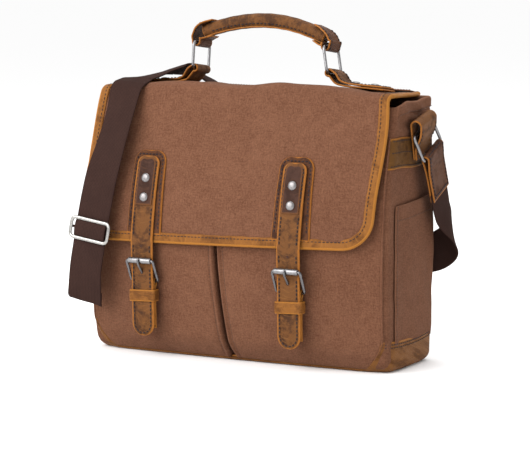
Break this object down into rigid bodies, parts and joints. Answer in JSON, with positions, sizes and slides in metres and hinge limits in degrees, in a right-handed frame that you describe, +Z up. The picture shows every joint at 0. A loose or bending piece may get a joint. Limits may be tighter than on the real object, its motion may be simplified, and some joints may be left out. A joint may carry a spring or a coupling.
{
  "type": "camera bag",
  "caption": "Canvas and leather shoulder camera bag with a buckled flap, front pockets, a padded insert, a top handle and a webbing shoulder strap.",
  "frame": {"origin": "centre of the flat underside, on the surface the bag stands on", "axes": "+Z up, -Y towards the flap front with the buckled straps, +X towards the bag's right end as seen from the front"},
  "size_m": [0.4381, 0.1907, 0.3953],
  "materials": {
    "canvas": "heavy waxed cotton canvas",
    "leather": "pull-up leather, satin",
    "binding": "thin tan leather, satin",
    "webbing": "woven cotton webbing",
    "gunmetal": "dark polished plate",
    "nickel": "bright nickel plate",
    "padding": "foam pad under brushed lining"
  },
  "bodies": {
    "bag": {"front_panel": "canvas", "back_panel": "canvas", "left_gusset": "canvas", "right_gusset": "canvas", "base_leather": "leather", "left_front_pocket": "canvas", "right_front_pocket": "canvas", "left_side_pocket": "canvas", "right_side_pocket": "canvas", "left_side_band": "leather", "right_side_band": "leather", "left_ring_chape": "binding", "right_ring_chape": "binding", "padded_insert": "padding", "divider": "padding", "webbing_back_run": "webbing", "webbing_left_run": "webbing"},
    "left_strap_end": {"left_side_ring": "gunmetal", "left_strap_tab": "leather"},
    "right_strap_end": {"right_side_ring": "gunmetal", "right_strap_tab": "leather"},
    "flap_top": {"flap_top_panel": "canvas", "left_handle_base": "leather", "right_handle_base": "leather", "left_inner_base_rivet": "nickel", "left_outer_base_rivet": "nickel", "right_inner_base_rivet": "nickel", "right_outer_base_rivet": "nickel", "webbing_top_run": "webbing"},
    "flap_front": {"flap_front_panel": "canvas", "flap_binding": "binding", "webbing_front_run": "webbing", "left_strap_patch": "leather", "left_strap_upper": "leather", "left_strap_overlay": "leather", "left_upper_rivet": "nickel", "left_lower_rivet": "nickel", "right_strap_patch": "leather", "right_strap_upper": "leather", "right_strap_overlay": "leather", "right_upper_rivet": "nickel", "right_lower_rivet": "nickel"},
    "strap_slider": {"strap_slider": "nickel"},
    "left_tail": {"left_strap_tail": "leather", "left_buckle_frame": "gunmetal", "left_keeper": "binding", "left_buckle_chape": "binding"},
    "left_roller": {"left_buckle_roller": "nickel"},
    "left_prong": {"left_buckle_prong": "gunmetal"},
    "right_tail": {"right_strap_tail": "leather", "right_buckle_frame": "gunmetal", "right_keeper": "binding", "right_buckle_chape": "binding"},
    "right_roller": {"right_buckle_roller": "nickel"},
    "right_prong": {"right_buckle_prong": "gunmetal"},
    "left_handle_ring": {"left_handle_ring": "gunmetal"},
    "right_handle_ring": {"right_handle_ring": "gunmetal"},
    "handle": {"handle_grip": "leather", "left_handle_loop": "binding", "right_handle_loop": "binding"}
  },
  "joints": [
    {"name": "flap_open", "type": "hinge", "parent": "bag", "child": "flap_top", "pos_m": [0, 0.0575, 0.304], "axis": [-1, 0, 0], "range_deg": [0, 110]},
    {"name": "flap_unroll", "type": "hinge", "parent": "flap_top", "child": "flap_front", "pos_m": [0, -0.04315, 0.31794], "axis": [-1, 0, 0], "range_deg": [0, 82.5]},
    {"name": "left_tail_lift", "type": "hinge", "parent": "flap_front", "child": "left_tail", "pos_m": [-0.106, -0.09527, 0.1375], "axis": [-1, 0, 0], "range_deg": [0, 60]},
    {"name": "right_tail_lift", "type": "hinge", "parent": "flap_front", "child": "right_tail", "pos_m": [0.0855, -0.0965, 0.1375], "axis": [-1, 0, 0], "range_deg": [0, 60]},
    {"name": "left_roller_spin", "type": "hinge", "parent": "left_tail", "child": "left_roller", "pos_m": [-0.106, -0.09842, 0.1135], "axis": [1, 0, 0], "continuous": true},
    {"name": "right_roller_spin", "type": "hinge", "parent": "right_tail", "child": "right_roller", "pos_m": [0.0855, -0.09965, 0.1135], "axis": [1, 0, 0], "continuous": true},
    {"name": "left_prong_lift", "type": "hinge", "parent": "left_tail", "child": "left_prong", "pos_m": [-0.106, -0.08686, 0.089], "axis": [1, 0, 0], "range_deg": [0, 8]},
    {"name": "right_prong_lift", "type": "hinge", "parent": "right_tail", "child": "right_prong", "pos_m": [0.0855, -0.08809, 0.089], "axis": [1, 0, 0], "range_deg": [0, 8]},
    {"name": "left_ring_swing", "type": "hinge", "parent": "flap_top", "child": "left_handle_ring", "pos_m": [-0.0905, 0.01637, 0.33005], "axis": [0, 0.9936, -0.1132], "range_deg": [-7, 10]},
    {"name": "right_ring_swing", "type": "hinge", "parent": "flap_top", "child": "right_handle_ring", "pos_m": [0.0865, 0.0162, 0.32856], "axis": [0, 0.9936, -0.1132], "range_deg": [-7, 10]},
    {"name": "handle_swing", "type": "hinge", "parent": "left_handle_ring", "child": "handle", "pos_m": [-0.0905, 0.01994, 0.36134], "axis": [0, 0.9936, -0.1132], "range_deg": [-9.9, 7]},
    {"name": "left_strap_end_swing", "type": "hinge", "parent": "bag", "child": "left_strap_end", "pos_m": [-0.2025, 0.006, 0.2715], "axis": [0, 0.9135, -0.4067], "range_deg": [-4, 20]},
    {"name": "right_strap_end_swing", "type": "hinge", "parent": "bag", "child": "right_strap_end", "pos_m": [0.2025, 0.006, 0.2715], "axis": [0, -0.9135, -0.4067], "range_deg": [-4, 20]},
    {"name": "strap_slide", "type": "slide", "parent": "flap_front", "child": "strap_slider", "axis": [-0.1416, -0.0963, -0.9852], "range_m": [-0.025, 0.02]}
  ],
  "couplings": [
    {"joint": "flap_unroll", "follows": "flap_open", "ratio": 0.75},
    {"joint": "right_ring_swing", "follows": "left_ring_swing", "ratio": 1},
    {"joint": "handle_swing", "follows": "left_ring_swing", "ratio": -0.96}
  ]
}
